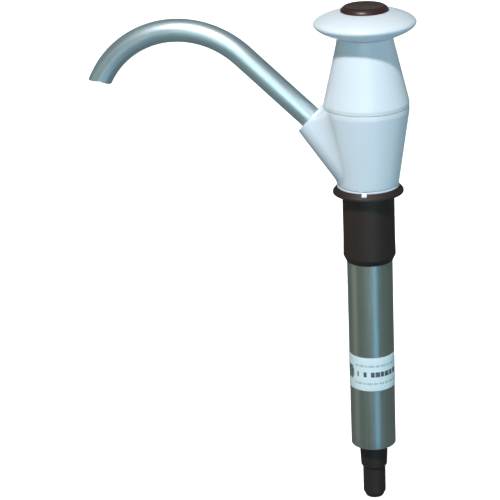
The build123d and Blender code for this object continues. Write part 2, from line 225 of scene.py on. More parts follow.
def grid_quads(rows: int, columns: int) -> Array:
    """Four corner numbers of each cell of a grid whose points are numbered row by row."""
    i, j = np.meshgrid(np.arange(rows - 1), np.arange(columns - 1), indexing="ij")
    a = i * columns + j
    return np.stack([a, a + columns, a + columns + 1, a + 1], -1).reshape(-1, 4)


def arc_lengths(patch: Array) -> Array:
    """Two surface coordinates of each grid point: the mean run along the rows and along the columns."""
    u, v = (running(np.linalg.norm(np.diff(patch, axis=i), axis=2).mean(1 - i)) for i in (0, 1))
    return np.stack(np.broadcast_arrays(u[:, None], v[None, :]), -1)


def link(name: str, data: bpy.types.ID) -> bpy.types.Object:
    """Adds an object that holds a mesh, a light or a camera to the scene."""
    holder = bpy.data.objects.new(name, data)
    bpy.context.scene.collection.objects.link(holder)
    return holder


def make_piece(name: str, patches: Sequence[Array], finish: "Finish", body: Body,
               stands_for: Sequence[str]) -> None:
    """Makes one piece from grids of points in mm.

    Args:
        name: the piece's name.
        patches: (rows, columns, 3) grids, which are joined and closed where they meet.
        finish: its finish.
        body: the body that it rides on.
        stands_for: CAD nodes that it replaces.
    """
    points, quads, runs, used = [], [], [], 0
    for patch in patches:
        points.append(patch.reshape(-1, 3))
        quads.append(grid_quads(*patch.shape[:2]) + used)
        runs.append(arc_lengths(patch).reshape(-1, 2))
        used += len(points[-1])
    corners = np.concatenate(quads)
    mesh = bpy.data.meshes.new(name)
    mesh.from_pydata(np.concatenate(points) * METRES, [], corners.tolist())
    layer = mesh.uv_layers.new(name="surface")
    layer.data.foreach_set("uv", (np.concatenate(runs)[corners.ravel()] * METRES).astype(np.float32).ravel())
    close_mesh(mesh)
    mesh.polygons.foreach_set("use_smooth", np.ones(len(mesh.polygons), bool))
    mesh.set_sharp_from_angle(angle=SHARP_ANGLE)
    piece = link(name, mesh)
    mesh.materials.append(finish.material())
    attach(piece, body.value)
    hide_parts(*stands_for)
    log.info("piece %s: %d faces on %s", name, len(mesh.polygons), body.value)


def close_mesh(mesh: bpy.types.Mesh) -> None:
    """Merges a mesh's seams and poles and turns all its faces outwards."""
    work = bmesh.new()
    work.from_mesh(mesh)
    bmesh.ops.remove_doubles(work, verts=work.verts, dist=MERGE_GAP)
    bmesh.ops.dissolve_degenerate(work, edges=work.edges, dist=MERGE_GAP / 4)
    bmesh.ops.recalc_face_normals(work, faces=work.faces)
    work.to_mesh(mesh)
    work.free()


def dress(finish: "Finish", *nodes: str) -> None:
    """Gives CAD nodes a finish.

    Args:
        finish: their new finish.
        nodes: the nodes' names.
    """
    for node in nodes:
        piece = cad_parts[node]
        piece.data.materials.clear()
        piece.data.materials.append(finish.material())
        log.info("finish %s on %s", finish.name, node)


# ---- finishes ----


class Tree:
    """A material's node tree, with short calls that add nodes and join them."""

    def __init__(self, name: str) -> None:
        """Starts a material with one Principled shader.

        Args:
            name: the material's name.
        """
        self.material = bpy.data.materials.new(name)
        self.material.use_nodes = True
        self.nodes = self.material.node_tree.nodes
        self.links = self.material.node_tree.links
        self.shader = self.nodes["Principled BSDF"]
        self.place = self.nodes.new("ShaderNodeTexCoord").outputs["Object"]

    def fill(self, node: bpy.types.Node, inputs: dict[Any, Any]) -> bpy.types.Node:
        """Sets or joins inputs of a node.

        Args:
            node: the node.
            inputs: values, or sockets to join, by the input's name or number.

        Returns:
            The same node.
        """
        for key, value in inputs.items():
            if isinstance(value, Socket):
                self.links.new(value, node.inputs[key])
            else:
                node.inputs[key].default_value = value
        return node

    def add(self, kind: str, inputs: dict[Any, Any], **settings: Any) -> bpy.types.Node:
        """Adds a node.

        Args:
            kind: the node's type, without ShaderNode.
            inputs: values or sockets by input name or number.
            settings: the node's own properties.

        Returns:
            The new node.
        """
        node = self.nodes.new("ShaderNode" + kind)
        for key, value in settings.items():
            setattr(node, key, value)
        return self.fill(node, inputs)

    def stretched(self, scale: Triple, source: Socket | None = None) -> Socket:
        """Coordinates multiplied by a scale on each axis."""
        vector = source or self.place
        return self.add("Mapping", {"Vector": vector, "Scale": scale}).outputs["Vector"]

    def noise(self, vector: Socket, scale: float, detail: float = 3.0,
              rough: float = 0.55) -> Socket:
        """Soft noise between 0 and 1."""
        inputs = {"Vector": vector, "Scale": scale, "Detail": detail, "Roughness": rough}
        return self.add("TexNoise", inputs).outputs["Fac"]

    def between(self, value: Socket, low: float, high: float, to_low: float,
                to_high: float) -> Socket:
        """Maps one range of values to another and holds them there."""
        inputs = {"Value": value, "From Min": low, "From Max": high, "To Min": to_low, "To Max": to_high}
        return self.add("MapRange", inputs, clamp=True).outputs["Result"]

    def calc(self, operation: str, first: Any, second: Any) -> Socket:
        """One step of arithmetic on two values or sockets."""
        return self.add("Math", {0: first, 1: second}, operation=operation).outputs["Value"]

    def mixed(self, share: Any, first: Any, second: Any) -> Socket:
        """Mix of two colours."""
        return self.add("Mix", {0: share, 6: first, 7: second}, data_type="RGBA").outputs[2]

    def bumps(self, heights: Sequence[tuple[Socket, float]]) -> None:
        """Raises the surface by several height patterns.

        Args:
            heights: (pattern, depth in metres) pairs.
        """
        normal: Socket | None = None
        for pattern, depth in heights:
            inputs: dict[Any, Any] = {"Height": pattern, "Distance": depth, "Strength": 1.0}
            if normal is not None:
                inputs["Normal"] = normal
            normal = self.add("Bump", inputs).outputs["Normal"]
        self.fill(self.shader, {"Normal": normal})


def shade(colour: Colour, factor: float = 1.0) -> tuple[float, float, float, float]:
    """Colour with its alpha, made lighter or darker by a factor."""
    return tuple(min(c * factor, 1.0) for c in colour) + (1.0,)


@dataclass(frozen=True)
class Finish:
    """What every finish has: its name, its slot in the record and its base colour."""

    name: str
    slot: Slot
    colour: Colour

    def material(self) -> bpy.types.Material:
        """Finds the finish's material, or makes it the first time."""
        found = bpy.data.materials.get(self.name)
        if found:
            return found
        tree = Tree(self.name)
        self.build(tree)
        return tree.material

    def build(self, tree: Tree) -> None:
        """Fills a new material's tree with the plain base colour."""
        tree.fill(tree.shader, {"Base Color": shade(self.colour)})

    def tinted(self, tree: Tree, pattern: Socket, low: float, high: float, dark: float,
               light: float) -> Socket:
        """Base colour that follows a pattern.

        Args:
            tree: the material's tree.
            pattern: the pattern's socket.
            low: its value where the colour is multiplied by dark.
            high: its value where the colour is multiplied by light.
            dark: the first factor.
            light: the second factor.

        Returns:
            The colour's socket.
        """
        return tree.mixed(tree.between(pattern, low, high, 0.0, 1.0), shade(self.colour, dark),
                          shade(self.colour, light))


@dataclass(frozen=True)
class MouldedPlastic(Finish):
    """Injection-moulded plastic: slight flow marks in the colour, a faint orange peel and handling scuffs."""

    gloss: float = 0.32  # roughness where it is clean
    scuffed: float = 0.46  # roughness where it is rubbed
    mottle: float = 0.035  # how much the colour wanders
    peel: float = 0.00002  # depth of the orange peel, m
    grain: float = 0.0  # depth of a spark-eroded grain, m
    glow: float = 0.0  # light that goes under the surface
    glow_depth: float = 0.004  # and how far, m

    def build(self, tree: Tree) -> None:
        """Fills a new material's tree with flow marks, peel, scuffs and grain."""
        flow = tree.noise(tree.stretched((1.0, 1.0, 0.35)), 38.0, 4.0)
        rubbed = tree.noise(tree.stretched((1.0, 1.0, 2.4)), 120.0, 6.0, 0.7)
        tint = self.tinted(tree, flow, 0.3, 0.7, 1 - self.mottle, 1 + self.mottle)
        rough = tree.between(rubbed, 0.5, 0.72, self.gloss, self.scuffed)
        tree.fill(tree.shader, {"Base Color": tint, "Roughness": rough, "IOR": 1.48})
        if self.glow:
            tree.fill(tree.shader, {
                "Subsurface Weight": self.glow, "Subsurface Scale": self.glow_depth,
                "Subsurface Radius": (0.8, 1.0, 1.1)})
        heights = [(tree.noise(tree.place, 260.0, 2.0), self.peel)]
        if self.grain:
            heights.append((tree.noise(tree.place, 900.0, 2.0), self.grain))
        tree.bumps(heights)


@dataclass(frozen=True)
class DrawnMetal(Finish):
    """Drawn tube: fine lines along it, with faint bands and small dull marks."""

    rough: float = 0.26
    lines: float = 0.00001  # depth of the drawn lines, m
    along_surface: bool = False  # lines follow the piece's own map, as on a bent tube
    metallic: float = 1.0
    marks: float = 0.12  # how much duller the marks are

    def build(self, tree: Tree) -> None:
        """Fills a new material's tree with lines that run along the tube."""
        if self.along_surface:
            source = tree.add("UVMap", {}, uv_map="surface").outputs["UV"]
            vector = tree.stretched((0.012, 1.0, 1.0), source)
        else:
            vector = tree.stretched((1.0, 1.0, 0.012))
        fine = tree.noise(vector, 2600.0, 2.0, 0.6)
        broad = tree.noise(vector, 420.0, 3.0, 0.5)
        patches = tree.noise(tree.place, 70.0, 5.0, 0.65)
        lines = tree.calc("ADD", tree.calc("MULTIPLY", fine, 0.6), tree.calc("MULTIPLY", broad, 0.4))
        tint = self.tinted(tree, lines, 0.35, 0.65, 0.94, 1.04)
        dull = tree.between(patches, 0.48, 0.75, 0.0, self.marks)
        rough = tree.calc("ADD", tree.between(lines, 0.3, 0.7, self.rough * 0.82, self.rough * 1.2), dull)
        tree.fill(tree.shader, {"Base Color": tint, "Roughness": rough, "Metallic": self.metallic})
        tree.bumps([(fine, self.lines), (broad, self.lines)])


@dataclass(frozen=True)
class TurnedSteel(Finish):
    """Ground or turned steel: fine rings round the pump's axis."""

    rough: float = 0.2
    rings: float = 3000.0  # rings to the metre, roughly
    depth: float = 0.0000002  # and their depth, m

    def build(self, tree: Tree) -> None:
        """Fills a new material's tree with fine rings and a few dull patches."""
        rings = tree.noise(tree.stretched((0.002, 0.002, 1.0)), self.rings, 2.0)
        patches = tree.noise(tree.place, 160.0, 4.0)
        rough = tree.calc("ADD", tree.between(rings, 0.3, 0.7, self.rough * 0.8, self.rough * 1.3),
                            tree.between(patches, 0.5, 0.8, 0.0, 0.12))
        tint = self.tinted(tree, patches, 0.3, 0.7, 0.94, 1.05)
        tree.fill(tree.shader, {"Base Color": tint, "Roughness": rough, "Metallic": 1.0})
        tree.bumps([(rings, self.depth)])


@dataclass(frozen=True)
class Rubber(Finish):
    """Moulded rubber: dull, with a fine dusty grain."""

    rough: float = 0.7
    grain: float = 0.00001  # depth of the grain, m

    def build(self, tree: Tree) -> None:
        """Fills a new material's tree with a dusty grain."""
        dust = tree.noise(tree.place, 300.0, 6.0, 0.7)
        grain = tree.noise(tree.place, 2500.0, 2.0)
        tint = self.tinted(tree, dust, 0.45, 0.8, 1.0, 1.5)
        rough = tree.between(dust, 0.3, 0.8, self.rough * 0.85, self.rough * 1.15)
        tree.fill(tree.shader, {"Base Color": tint, "Roughness": rough})
        tree.bumps([(grain, self.grain)])


@dataclass(frozen=True)
class Bar:
    """A plain printed bar on the label.

    It has two edges round the barrel in degrees, two heights as shares of the label's, and its share of ink.
    """

    left: float
    right: float
    low: float
    high: float
    ink: float = 1.0


@dataclass(frozen=True)
class PrintedFilm(Finish):
    """White film printed with plain bars and a round spot, none of which is a letter or a mark."""

    ink: Colour = (0.05, 0.06, 0.07)
    low: float = 0.0  # the film's lowest height, m
    high: float = 0.0  # and its highest
    texture: float = 0.000008  # depth of the film's unevenness, m
    bars: tuple[Bar, ...] = ()

    def build(self, tree: Tree) -> None:
        """Fills a new material's tree with bars: each is the product of four steps in angle and height."""
        split = tree.add("SeparateXYZ", {0: tree.place})
        angle = tree.calc("ARCTAN2", split.outputs["Y"], split.outputs["X"])
        height = tree.between(split.outputs["Z"], self.low, self.high, 0.0, 1.0)
        printed: Any = 0.0
        for bar in self.bars:
            inside: Any = bar.ink
            for value, edge, sense in ((angle, radians(bar.left), "GREATER_THAN"),
                                       (angle, radians(bar.right), "LESS_THAN"),
                                       (height, bar.low, "GREATER_THAN"), (height, bar.high, "LESS_THAN")):
                inside = tree.calc("MULTIPLY", inside, tree.calc(sense, value, edge))
            printed = tree.calc("MAXIMUM", printed, inside)
        worn = tree.noise(tree.place, 1400.0, 3.0)
        printed = tree.calc("MULTIPLY", printed, tree.between(worn, 0.25, 0.5, 0.55, 1.0))
        mottled = tree.mixed(tree.noise(tree.place, 90.0, 4.0), shade(self.colour, 0.94),
                             shade(self.colour, 1.03))
        tint = tree.mixed(printed, mottled, shade(self.ink))
        tree.fill(tree.shader, {"Base Color": tint, "Roughness": tree.between(worn, 0.2, 0.8, 0.34, 0.5)})
        tree.bumps([(worn, self.texture)])


HEAD_WHITE = MouldedPlastic("moulded_white", Slot.WHITE, (0.72, 0.77, 0.84), gloss=0.3, scuffed=0.42,
                            mottle=0.02, peel=0.000012, glow=0.12)
NYLON = MouldedPlastic("machined_nylon", Slot.NYLON, (0.64, 0.71, 0.78), gloss=0.42, scuffed=0.55,
                       mottle=0.03)
BLACK = MouldedPlastic("moulded_black", Slot.BLACK, (0.023, 0.0125, 0.0095), gloss=0.6, scuffed=0.7,
                       mottle=0.25, grain=0.00002)
BROWN = MouldedPlastic("moulded_brown", Slot.BROWN, (0.040, 0.014, 0.011), gloss=0.36, scuffed=0.5,
                       mottle=0.2)
SPOUT = DrawnMetal("satin_spout", Slot.SPOUT, (0.68, 0.78, 0.83), rough=0.46, lines=0.000003,
                   along_surface=True, marks=0.05)
BARREL = DrawnMetal("anodised_barrel", Slot.BARREL, (0.36, 0.38, 0.34), rough=0.36, lines=0.000001,
                    marks=0.05, metallic=0.85)
STEEL = TurnedSteel("ground_steel", Slot.STEEL, (0.62, 0.62, 0.61))
RUBBER = Rubber("black_rubber", Slot.RUBBER, (0.02, 0.02, 0.02))
GASKET = Rubber("beige_gasket", Slot.GASKET, (0.60, 0.62, 0.48), rough=0.62)


# ---- head ----


@dataclass
class Branch:
    """Spout branch: a cone that widens inwards and runs into the head through a rolling-ball fillet."""

    angle: float = 42.4  # degrees above the deck's plane
    reach: float = 39.0  # rim's centre from the pump's axis
    height: float = 51.6  # and above the deck
    rim_r: float = 12.4
    bore_r: float = 8.1
    bore_depth: float = 14.0
    rim_round: float = 0.7
    mouth_round: float = 0.4
    foot_inset: float = 1.2  # the underside's line meets the foot this far inside it
    side_fillet: float = 30.0
    top_fillet: float = 9.0
    foot_fillet: float = 3.6
    shelf_drop: float = 0.25  # the web's flat top lies this far under the seam
    shelf_round: float = 0.2
    columns: int = 168
    flank_rows: int = 14
    fillet_rows: int = 16

    def directions(self) -> tuple[Array, Array]:
        """The way out along the branch, and the way up square to it in the XZ plane."""
        b = radians(self.angle)
        return np.array([-cos(b), 0, sin(b)]), np.array([sin(b), 0, cos(b)])

    def ball_radius(self, phi: Array) -> Array:
        """Fillet's radius round the branch: large at the sides, smaller on top and small at the foot.

        Above the sides it falls as (1 - sin phi)^1.6, and below them as 1 - (-sin phi)^3.
        """
        up, down = np.clip(np.sin(phi), 0, 1), np.clip(-np.sin(phi), 0, 1)
        over = self.top_fillet + (self.side_fillet - self.top_fillet) * (1 - up) ** 1.6
        under = self.foot_fillet + (self.side_fillet - self.foot_fillet) * (1 - down**3)
        return np.where(np.sin(phi) > 0, over, under)

    def surface(self, foot_r: float, foot_z: float, wide_r: float, wide_z: float,
                seam_z: float) -> Array:
        """Outside and bore of the branch, as one closed grid.

        A ball of radius p rolls in the corner between the branch and the head. Its centre is where a line of
        the branch, moved out by p, meets the head's cone, moved out by p: |L + s V| = A + m z + p / cos g is
        a quadratic in s. The fillet's points are the spherical mean of the two directions from the centre to
        the cones. Above the head's cone they are drawn in to its upright band. Under the seam the web ends in
        a flat shelf with a soft edge: a height z becomes shelf - k log(1 + exp((shelf - z) / k)).

        Args:
            foot_r: the head cone's radius at its foot.
            foot_z: the foot's height.
            wide_r: the head cone's radius at its top.
            wide_z: the top's height.
            seam_z: the height that the web stays under.

        Returns:
            (rows, columns + 1, 3) points in mm.
        """
        out, up = self.directions()
        side = np.array([0.0, 1.0, 0.0])
        rim = np.array([-self.reach, 0.0, self.height])
        lowest = rim - up * self.rim_r
        line = atan2(lowest[2] - foot_z, -lowest[0] - foot_r + self.foot_inset)
        taper = line - radians(self.angle)
        phi = np.linspace(-pi / 2, 3 * pi / 2, self.columns + 1)
        radial = np.cos(phi)[:, None] * side + np.sin(phi)[:, None] * up
        normal = cos(taper) * radial + sin(taper) * out
        ball = self.ball_radius(phi)
        m = (wide_r - foot_r) / (wide_z - foot_z)
        lean = atan(m)
        along = -out + tan(taper) * radial
        start = rim + self.rim_r * radial + ball[:, None] * normal
        k = foot_r + m * (start[:, 2] - foot_z) + ball / cos(lean)
        a = along[:, 0]**2 + along[:, 1]**2 - (m * along[:, 2])**2
        b = 2 * (start[:, 0] * along[:, 0] + start[:, 1] * along[:, 1] - k * m * along[:, 2])
        c = start[:, 0]**2 + start[:, 1]**2 - k**2
        s = (-b - np.sqrt(np.maximum(b * b - 4 * a * c, 0))) / (2 * a)
        s = np.maximum(s, self.rim_round * 1.2)
        centre = start + s[:, None] * along
        turn = np.arctan2(centre[:, 1], centre[:, 0])
        head = np.stack([np.cos(turn) * cos(lean), np.sin(turn) * cos(lean),
                         -sin(lean) * np.ones_like(turn)], -1)
        w = np.arccos(np.clip((normal * head).sum(1), -1, 1))[None, :, None]
        t = np.linspace(0, 1, self.fillet_rows + 1)[1:, None, None]
        mean = (np.sin((1 - t) * w) * normal + np.sin(t * w) * head) / np.sin(w)
        fillet = centre - ball[:, None] * mean
        far = np.hypot(fillet[..., 0], fillet[..., 1])
        wanted = np.minimum(foot_r + m * (fillet[-1, :, 2] - foot_z), wide_r)
        draw = 1 + (wanted / far[-1] - 1) * t[..., 0] ** 2
        fillet[..., :2] *= draw[..., None]
        shelf, soft = seam_z - self.shelf_drop, self.shelf_round
        fillet[..., 2] = shelf - soft * np.logaddexp(0, (shelf - fillet[..., 2]) / soft)
        return np.concatenate([
            self.mouth(rim, out, radial),
            self.flank(rim, out, radial, taper, s),
            fillet,
            self.ring(rim, out, radial, self.bore_depth, self.bore_r)[None]])

    @staticmethod
    def ring(rim: Array, out: Array, radial: Array, depth: Any, r: Any) -> Array:
        """Points at a depth inside the rim and a radius from the branch's axis."""
        depth, r = np.asarray(depth, float)[..., None], np.asarray(r, float)[..., None]
        return rim - depth * out + r * radial

    def mouth(self, rim: Array, out: Array, radial: Array) -> Array:
        """Bore, its rounded edge, the rim and its rounded edge, from the inside out."""
        q = np.linspace(0, pi / 2, 6)
        m, e = self.mouth_round, self.rim_round
        depth = np.concatenate([[self.bore_depth], m * (1 - np.sin(q)), e * (1 - np.cos(q))])
        r = np.concatenate([[self.bore_r], self.bore_r + m * (1 - np.cos(q)),
                            self.rim_r - e * (1 - np.sin(q))])
        return self.ring(rim[None, None], out, radial[None], depth[:, None], r[:, None])

    def flank(self, rim: Array, out: Array, radial: Array, taper: float,
              end: Array) -> Array:
        """Straight lines of the branch's cone, from the rim's rounding to the fillet."""
        t = np.linspace(0, 1, self.flank_rows + 1)[1:, None]
        depth = self.rim_round + t * (end[None] - self.rim_round)
        return self.ring(rim[None, None], out, radial[None], depth, self.rim_r + depth * tan(taper))


@dataclass
class Head:
    """Two-part white head, with its gasket, branch and spout."""

    foot_r: float = 21.05
    cone_top_z: float = 57.5
    band_top_z: float = 64.1
    neck_r: float = 19.8
    neck_z: float = 103.2
    top_r: float = 18.7
    wall: float = 3.2
    socket_r: float = 16.0
    ledge_r: float = 11.5
    ledge_thickness: float = 4.0
    barrel_gap: float = 0.15  # between the ledge and the barrel's end
    floor_r: float = 19.0
    spigot_wall: float = 2.5
    spigot_inset: float = 2.9  # from the gasket's rim to the spigot
    gasket_width: float = 2.8
    gasket_bulge: float = 0.42  # rounding of its edge, as a share of its thickness
    seam_round: float = 0.25
    plate: float = 7.6
    boss_r: float = 12.6
    boss_length: float = 20.0
    nut_r: float = 11.0
    nut_depth: float = 7.0
    pocket_r: float = 9.0
    pocket_depth: float = 25.5
    rod_hole_r: float = 6.2
    branch: Branch = field(default_factory=Branch)

    def lower(self) -> None:
        """Lower half: a cone with a rounded lip at its foot, and the branch grown into it."""
        body, barrel = Reach.of("lower_body"), Reach.of("barrel_tube")
        spigot = Reach.of("upper_body").low
        recess_r = Reach.of("seam_gasket").r - self.spigot_inset
        ledge_z = barrel.high + self.barrel_gap
        floor_z = ledge_z + self.ledge_thickness
        cone = lathe([
            (self.socket_r, body.low, 0.3), (self.foot_r, body.low, 0.9), (body.r, self.cone_top_z, 2.5),
            (body.r, body.high, self.seam_round), (recess_r, body.high, 0.2), (recess_r, spigot, 0.1),
            (recess_r - self.spigot_wall, spigot, 0.1), (self.floor_r, floor_z, 1.5),
            (self.ledge_r, floor_z, 0.3),
            (self.ledge_r, ledge_z, 0.3), (self.socket_r, ledge_z, 0.2)], 3.0)
        grown = self.branch.surface(self.foot_r, body.low, body.r, self.cone_top_z, body.high)
        make_piece("head_lower", [cone, grown], HEAD_WHITE, Body.HEAD, ["lower_body"])

    def upper(self) -> None:
        """Upper half: an upright band, a cone, a bevelled top and the gland's boss inside."""
        body, gasket = Reach.of("upper_body"), Reach.of("seam_gasket")
        spigot_r = gasket.r - self.spigot_inset
        inner_r = spigot_r - self.spigot_wall
        roof = body.high - self.plate
        boss_end = roof - self.boss_length
        outline = [
            (self.rod_hole_r, boss_end, 0.2), (self.boss_r, boss_end, 0.6), (self.boss_r, roof, 0.8),
            (self.neck_r - self.wall, roof, 1.0), (inner_r, self.band_top_z, 1.0), (inner_r, body.low, 0.3),
            (spigot_r, body.low, 0.3), (spigot_r, gasket.high, 0.1), (body.r, gasket.high, self.seam_round),
            (body.r, self.band_top_z, 1.6), (self.neck_r, self.neck_z, 1.2), (self.top_r, body.high, 0.5),
            (self.nut_r, body.high, 0.3), (self.nut_r, body.high - self.nut_depth, 0.1),
            (self.pocket_r, body.high - self.nut_depth, 0.1),
            (self.pocket_r, body.high - self.pocket_depth, 0.1),
            (self.rod_hole_r, body.high - self.pocket_depth, 0.1)]
        make_piece("head_upper", [lathe(outline, 3.0)], HEAD_WHITE, Body.HEAD, ["upper_body"])

    def gasket(self) -> None:
        """Thin sheet squeezed a little round between the two halves."""
        seam = Reach.of("seam_gasket")
        bulge, inner = (seam.high - seam.low) * self.gasket_bulge, seam.r - self.gasket_width
        outline = [(inner, seam.low, 0.1), (seam.r, seam.low, bulge), (seam.r, seam.high, bulge),
                   (inner, seam.high, 0.1)]
        make_piece("head_gasket", [lathe(outline)], GASKET, Body.HEAD, ["seam_gasket"])

    def build(self) -> None:
        """Makes the head's pieces and dresses the ones that stay."""
        self.lower()
        self.upper()
        self.gasket()
        Spout(self.branch).build()
        dress(NYLON, "rod_guide_bush", "gland_nut")
        dress(RUBBER, "barrel_o_ring", "spout_o_rings", "rod_seal")
        dress(STEEL, "barrel_retaining_ring")


@dataclass
class Spout:
    """Bent spout: a straight run out of the branch, one arc over the crest and a level cut."""

    branch: Branch
    r: float = 8.0
    wall: float = 1.2
    bend_r: float = 65.8
    crest_reach: float = 129.1
    past_crest: float = 62.0  # degrees of bend past the crest
    outlet_z: float = 75.0  # height of the level cut
    socket: float = 15.0  # how far the tube goes into the branch
    lip: float = 0.3  # rounding of the cut's edges
    columns: int = 72
    straight_rows: int = 16
    bend_rows: int = 103

    def route(self) -> tuple[Array, Array]:
        """Points and directions along the tube's axis up to the end of its bend.

        The straight run has length s along the branch. On the bend the direction turns evenly from the
        branch's rise to the fall past the crest, and the point is the bend's centre plus its radius times the
        outward direction.

        Returns:
            Points (n, 3) and unit directions (n, 3).
        """
        rise, fall = radians(self.branch.angle), radians(self.past_crest)
        out, _ = self.branch.directions()
        rim = np.array([-self.branch.reach, 0.0, self.branch.height])
        run = (self.crest_reach - self.branch.reach - self.bend_r * sin(rise)) / cos(rise)
        s = np.linspace(-self.socket, run, self.straight_rows)[:, None]
        turn = np.linspace(rise, -fall, self.bend_rows + 1)[1:]
        middle = np.array([-self.crest_reach, 0.0, (rim + out * run)[2] - self.bend_r * cos(rise)])
        bend = middle + self.bend_r * np.stack([np.sin(turn), 0 * turn, np.cos(turn)], -1)
        ways = np.stack([-np.cos(turn), 0 * turn, np.sin(turn)], -1)
        return np.vstack([rim + s * out, bend]), np.vstack([np.repeat(out[None], len(s), 0), ways])

    def wall_surface(self, r: float, lip: float) -> Array:
        """Tube of one radius that ends a little above the level cut.

        Each point is the axis point plus r (cos v across + sin v up). Past the bend each line runs straight
        on along the last direction until it reaches the cut, less the lip's rounding.

        Args:
            r: the tube's radius.
            lip: distance left before the cut, along the tube.

        Returns:
            (rows, columns + 1, 3) grid.
        """
        at, way = self.route()
        v = np.linspace(0, 2 * pi, self.columns + 1)
        above = np.stack([way[:, 2], 0 * way[:, 0], -way[:, 0]], -1)
        across, rise = np.cos(v)[None, :, None], np.sin(v)[None, :, None]
        ring = across * np.array([0.0, 1.0, 0.0]) + rise * above[:, None]
        tube = at[:, None] + r * ring
        left = (tube[-1, :, 2] - self.outlet_z) / -way[-1, 2] - lip
        t = np.linspace(0, 1, 9)[1:, None, None]
        return np.concatenate([tube, tube[-1] + t * left[None, :, None] * way[-1]])

    def build(self) -> None:
        """Makes the tube: its outside, the rounded cut and its inside, closed at both ends."""
        q = np.linspace(0, pi / 2, 5)
        outer, inner = self.r, self.r - self.wall
        ends = [(outer - self.lip * (1 - cos(a)), self.lip * (1 - sin(a))) for a in q]
        ends += [(inner + self.lip * (1 - sin(a)), self.lip * (1 - sin(a + pi / 2))) for a in q]
        edge = np.stack([self.wall_surface(r, back)[-1] for r, back in ends])
        outside = self.wall_surface(outer, self.lip)
        inside = self.wall_surface(inner, self.lip)[::-1]
        grid = np.concatenate([outside, edge, inside, outside[:1]])
        make_piece("spout", [grid], SPOUT, Body.HEAD, ["spout_tube"])


# ---- barrel ----


@dataclass
class DeckMount:
    """Black through-deck collar, and the white washer with its tab."""

    flange_top_r: float = 21.4
    rim_height: float = 1.4
    sleeve_r: float = 17.9
    straight: float = 31.0
    flare: float = 0.27
    chamfer: float = 4.0
    end_r: float = 16.2
    height: float = 4.8
    tab_root: float = 2.0  # how far in from the washer's edge the tab starts
    tab_turn: float = 0.9  # height above its end where it turns in
    tab_width: float = 3.6
    tab_angle: float = -86.0

    def collar(self) -> None:
        """Bevelled flange on its sleeve, with softened edges."""
        reach, barrel = Reach.of("deck_collar"), Reach.of("barrel_tube")
        outline = [
            (barrel.r, self.height, 0.1), (self.flange_top_r, self.height, 0.5),
            (reach.r, self.rim_height, 0.6), (reach.r, 0.0, 0.35), (self.sleeve_r, 0.0, 0.5),
            (self.sleeve_r, -self.straight, 8.0),
            (self.sleeve_r + self.flare, reach.low + self.chamfer, 0.7), (self.end_r, reach.low, 0.35),
            (barrel.r, reach.low, 0.05)]
        make_piece("collar", [lathe(outline, 3.0)], BLACK, Body.BARREL, ["deck_collar"])

    def washer(self) -> None:
        """Thin ring with one tab turned down over the flange's bevel.

        The tab is a grid across its width and along a path that goes out over the ring, down the bevel and
        back in. Its edges are rounded by pulling the outer columns in.
        """
        reach, barrel = Reach.of("swivel_washer"), Reach.of("barrel_tube")
        low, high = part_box("swivel_washer")
        ring_r, tip = (high.x - low.x) / 2 / METRES, -low.y / METRES
        root = ring_r - self.tab_root
        ring = lathe([(barrel.r, self.height, 0.1), (ring_r, self.height, 0.1), (ring_r, reach.high, 0.4),
                      (barrel.r, reach.high, 0.2)])
        path = rounded([(root, self.height, 0.05), (root, reach.high, 0.05), (ring_r, reach.high, 0.35),
                        (tip, reach.low + self.tab_turn, 0.3), (tip, reach.low, 0.15)], 5)
        across = np.array([-1.0, -0.96, -0.85, -0.4, 0.4, 0.85, 0.96, 1.0])
        shrink = np.array([0.0, 0.93, 0.99, 1.0, 1.0, 0.99, 0.93, 0.0])
        middle = path[:-1].mean(0)
        rows = middle + (path[:, None] - middle) * shrink[None, :, None]
        half = self.tab_width / 2 * across
        tab = np.stack([rows[..., 0], np.broadcast_to(half, rows.shape[:2]), rows[..., 1]], -1)
        a = radians(self.tab_angle)
        spin = np.array([[cos(a), -sin(a), 0], [sin(a), cos(a), 0], [0, 0, 1]])
        make_piece("washer", [ring, tab @ spin.T], NYLON, Body.BARREL, ["swivel_washer"])

    def build(self) -> None:
        """Makes the collar and the washer."""
        self.collar()
        self.washer()


